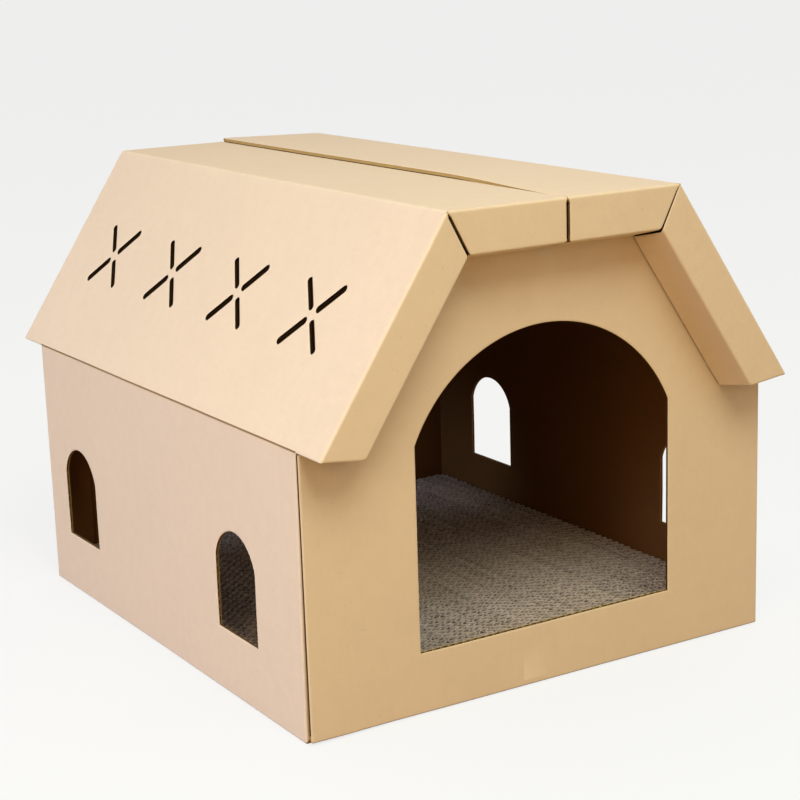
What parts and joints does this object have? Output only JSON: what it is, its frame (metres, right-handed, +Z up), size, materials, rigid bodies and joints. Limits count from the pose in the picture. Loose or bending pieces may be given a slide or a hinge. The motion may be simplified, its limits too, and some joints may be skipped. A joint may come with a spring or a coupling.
{
  "type": "cardboard cat house",
  "caption": "Corrugated cardboard cat house with an arched doorway, arched side windows, a folding four-plane roof with lipped ends and a loose scratch pad floor.",
  "frame": {"origin": "middle of the footprint of the whole house, at the underside of its outer bottom flaps", "axes": "+Z up, -Y towards the front with the doorway, +X to the right of someone who faces the doorway"},
  "size_m": [0.4, 0.515, 0.357],
  "materials": {
    "kraft_board": "plain kraft liner, matte",
    "pad_board": "open flute edges, rough and matte"
  },
  "bodies": {
    "house": {"back_bottom_flap": "kraft_board", "back_wall": "kraft_board", "front_bottom_flap": "kraft_board", "front_wall": "kraft_board", "left_bottom_flap": "kraft_board", "left_wall": "kraft_board", "left_wall_back_glue_flap": "kraft_board", "left_wall_front_glue_flap": "kraft_board", "right_bottom_flap": "kraft_board", "right_wall": "kraft_board", "right_wall_back_glue_flap": "kraft_board", "right_wall_front_glue_flap": "kraft_board"},
    "left_roof": {"left_slope": "kraft_board", "left_slope_front_end_flap": "kraft_board", "left_slope_front_return_flap": "kraft_board", "left_slope_back_end_flap": "kraft_board", "left_slope_back_return_flap": "kraft_board"},
    "left_top": {"left_top": "kraft_board", "left_top_front_end_flap": "kraft_board", "left_top_front_return_flap": "kraft_board", "left_top_back_end_flap": "kraft_board", "left_top_back_return_flap": "kraft_board"},
    "right_roof": {"right_slope": "kraft_board", "right_slope_front_end_flap": "kraft_board", "right_slope_front_return_flap": "kraft_board", "right_slope_back_end_flap": "kraft_board", "right_slope_back_return_flap": "kraft_board"},
    "right_top": {"right_top": "kraft_board", "right_top_front_end_flap": "kraft_board", "right_top_front_return_flap": "kraft_board", "right_top_back_end_flap": "kraft_board", "right_top_back_return_flap": "kraft_board"},
    "pad": {"scratch_pad": "pad_board"}
  },
  "joints": [
    {"name": "left_roof_fold", "type": "hinge", "parent": "house", "child": "left_roof", "pos_m": [-0.2, 0, 0.205], "axis": [0, -1, 0], "range_deg": [0, 110]},
    {"name": "left_top_fold", "type": "hinge", "parent": "left_roof", "child": "left_top", "pos_m": [-0.098, 0, 0.357], "axis": [0, -1, 0], "range_deg": [0, 150]},
    {"name": "right_roof_fold", "type": "hinge", "parent": "house", "child": "right_roof", "pos_m": [0.2, 0, 0.205], "axis": [0, 1, 0], "range_deg": [0, 110]},
    {"name": "right_top_fold", "type": "hinge", "parent": "right_roof", "child": "right_top", "pos_m": [0.098, 0, 0.357], "axis": [0, 1, 0], "range_deg": [0, 150]},
    {"name": "pad_lift", "type": "slide", "parent": "house", "child": "pad", "axis": [0, 0, 1], "range_m": [0, 0.15]}
  ]
}
